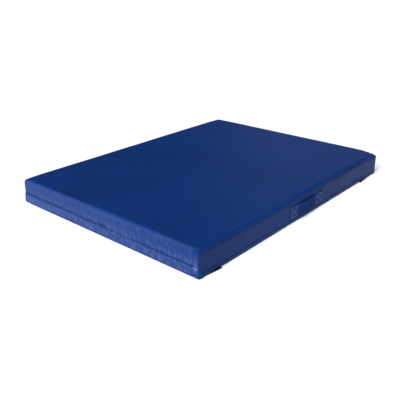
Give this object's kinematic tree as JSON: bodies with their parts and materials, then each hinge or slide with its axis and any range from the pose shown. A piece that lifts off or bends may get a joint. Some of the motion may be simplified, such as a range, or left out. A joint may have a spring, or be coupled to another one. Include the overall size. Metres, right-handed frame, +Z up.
{
  "type": "folding gym mat",
  "caption": "Folding floor mat shown shut: two vinyl-covered foam panels stacked face to face, joined by a spine wall with a webbing carry handle and under-folded fastener flaps.",
  "frame": {"origin": "centre of the bottom of the overall box, on the floor face of the lower panel", "axes": "+Z up; +Y along the fold, from the near short side to the far one; +X from the opening side towards the spine wall and its handle"},
  "size_m": [0.925, 1.22, 0.1],
  "materials": {
    "vinyl": "satin",
    "welt": "satin",
    "lining_vinyl": "satin",
    "foam": "matte",
    "webbing": "matte",
    "thread": "satin",
    "hook_tape": "matte",
    "loop_tape": "matte"
  },
  "bodies": {
    "lower_panel": {"lower_outer_skin": "vinyl", "lower_inner_skin": "vinyl", "lower_near_band": "vinyl", "lower_far_band": "vinyl", "lower_opening_band": "vinyl", "lower_fold_band": "vinyl", "lower_lip_welt": "welt", "lower_core_bottom_ply": "foam", "lower_core_top_ply": "foam"},
    "upper_panel": {"upper_outer_skin": "vinyl", "upper_inner_skin": "vinyl", "upper_near_band": "vinyl", "upper_far_band": "vinyl", "upper_opening_band": "vinyl", "upper_fold_band": "vinyl", "upper_lip_welt": "welt", "upper_core_bottom_ply": "foam", "upper_core_top_ply": "foam"},
    "spine": {"spine_cover": "vinyl", "spine_near_cheek": "vinyl", "spine_far_cheek": "vinyl", "spine_lining": "lining_vinyl", "handle_strap": "webbing", "handle_backing": "webbing", "handle_stitching": "thread", "spine_upper_seam_thread": "thread", "spine_lower_seam_thread": "thread", "cheek_bar_tacks": "thread"},
    "near_flap": {"near_flap_sheet": "lining_vinyl", "near_flap_hook_tape": "hook_tape"},
    "far_flap": {"far_flap_sheet": "lining_vinyl", "far_flap_loop_tape": "loop_tape"}
  },
  "joints": [
    {"name": "spine_fold", "type": "hinge", "parent": "lower_panel", "child": "spine", "pos_m": [0.4525, 0, 0.01], "axis": [0, 1, 0], "range_deg": [0, 90]},
    {"name": "upper_panel_fold", "type": "hinge", "parent": "spine", "child": "upper_panel", "pos_m": [0.4525, 0, 0.09], "axis": [0, 1, 0], "range_deg": [0, 90]},
    {"name": "near_flap_fold", "type": "hinge", "parent": "lower_panel", "child": "near_flap", "pos_m": [0, -0.6076, 0.0019], "axis": [-1, 0, 0], "range_deg": [0, 180]},
    {"name": "far_flap_fold", "type": "hinge", "parent": "lower_panel", "child": "far_flap", "pos_m": [0, 0.6076, 0.0019], "axis": [1, 0, 0], "range_deg": [0, 180]}
  ]
}
